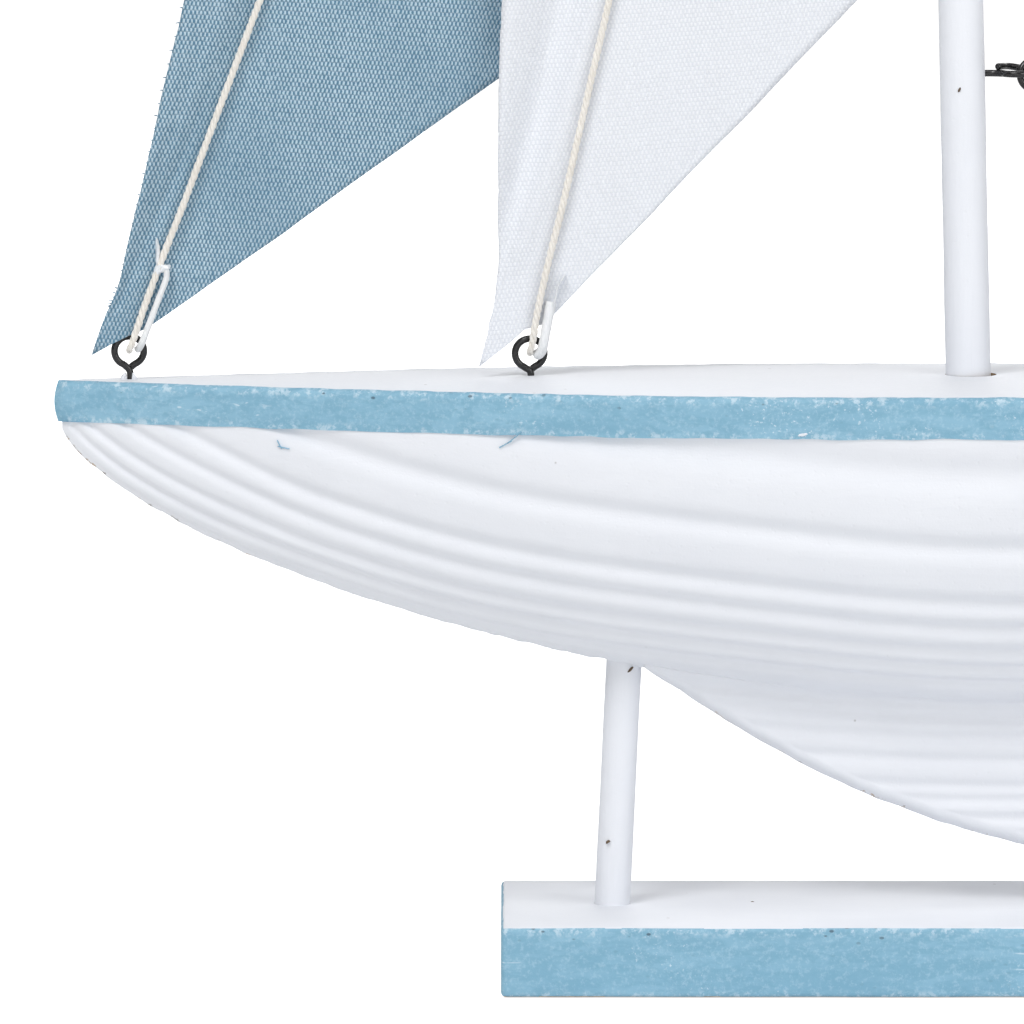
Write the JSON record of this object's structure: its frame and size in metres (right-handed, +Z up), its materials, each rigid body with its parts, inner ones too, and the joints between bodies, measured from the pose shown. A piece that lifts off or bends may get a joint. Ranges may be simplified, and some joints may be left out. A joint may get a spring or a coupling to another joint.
{
  "type": "display sailboat",
  "caption": "Painted wooden display sailboat on a two-post stand, with a grooved hull, keel fin, dowel mast, swinging boom and fabric sails on cotton cords",
  "frame": {"origin": "centre of the underside of the stand's base, half way along the hull", "axes": "+Z up along the posts, +X from the bow to the stern, +Y from the port side to the starboard side"},
  "size_m": [0.3198, 0.0626, 0.4551],
  "materials": {
    "white_paint": "matt white paint on wood",
    "blue_paint": "worn light-blue paint on wood",
    "black_wire": "black steel wire",
    "cotton_cord": "undyed twisted cotton",
    "blue_cloth": "coarse plain weave, grey-blue",
    "white_cloth": "fine plain weave, white"
  },
  "bodies": {
    "boat_and_stand": {"base_block": "blue_paint", "front_post": "white_paint", "rear_post": "white_paint", "hull": "white_paint", "keel_fin": "white_paint", "deck_board": "blue_paint", "mast": "white_paint", "bow_eye": "black_wire", "fore_deck_eye": "black_wire", "jib_head_eye": "black_wire", "staysail_head_eye": "black_wire", "mainsail_head_eye": "black_wire", "mast_gooseneck_eye": "black_wire", "jib_stay": "cotton_cord", "staysail_stay": "cotton_cord"},
    "boom_and_mainsail": {"boom": "white_paint", "boom_gooseneck_eye": "black_wire", "boom_end_eye": "black_wire", "leech_cord": "cotton_cord", "mainsail": "white_cloth"},
    "jib": {"jib": "blue_cloth"},
    "staysail": {"staysail": "white_cloth"}
  },
  "joints": [
    {"name": "boom_swing", "type": "hinge", "parent": "boat_and_stand", "child": "boom_and_mainsail", "pos_m": [0.0048, 0, 0.1548], "axis": [-0.0306, 0, 0.9995], "range_deg": [-42, 42]},
    {"name": "jib_swing", "type": "hinge", "parent": "boat_and_stand", "child": "jib", "pos_m": [-0.148, -0.0016, 0.1073], "axis": [0.3523, 0, 0.9359], "range_deg": [0, 45]},
    {"name": "staysail_swing", "type": "hinge", "parent": "boat_and_stand", "child": "staysail", "pos_m": [-0.0796, -0.0016, 0.1069], "axis": [0.2181, 0, 0.9759], "range_deg": [-3, 45]}
  ]
}
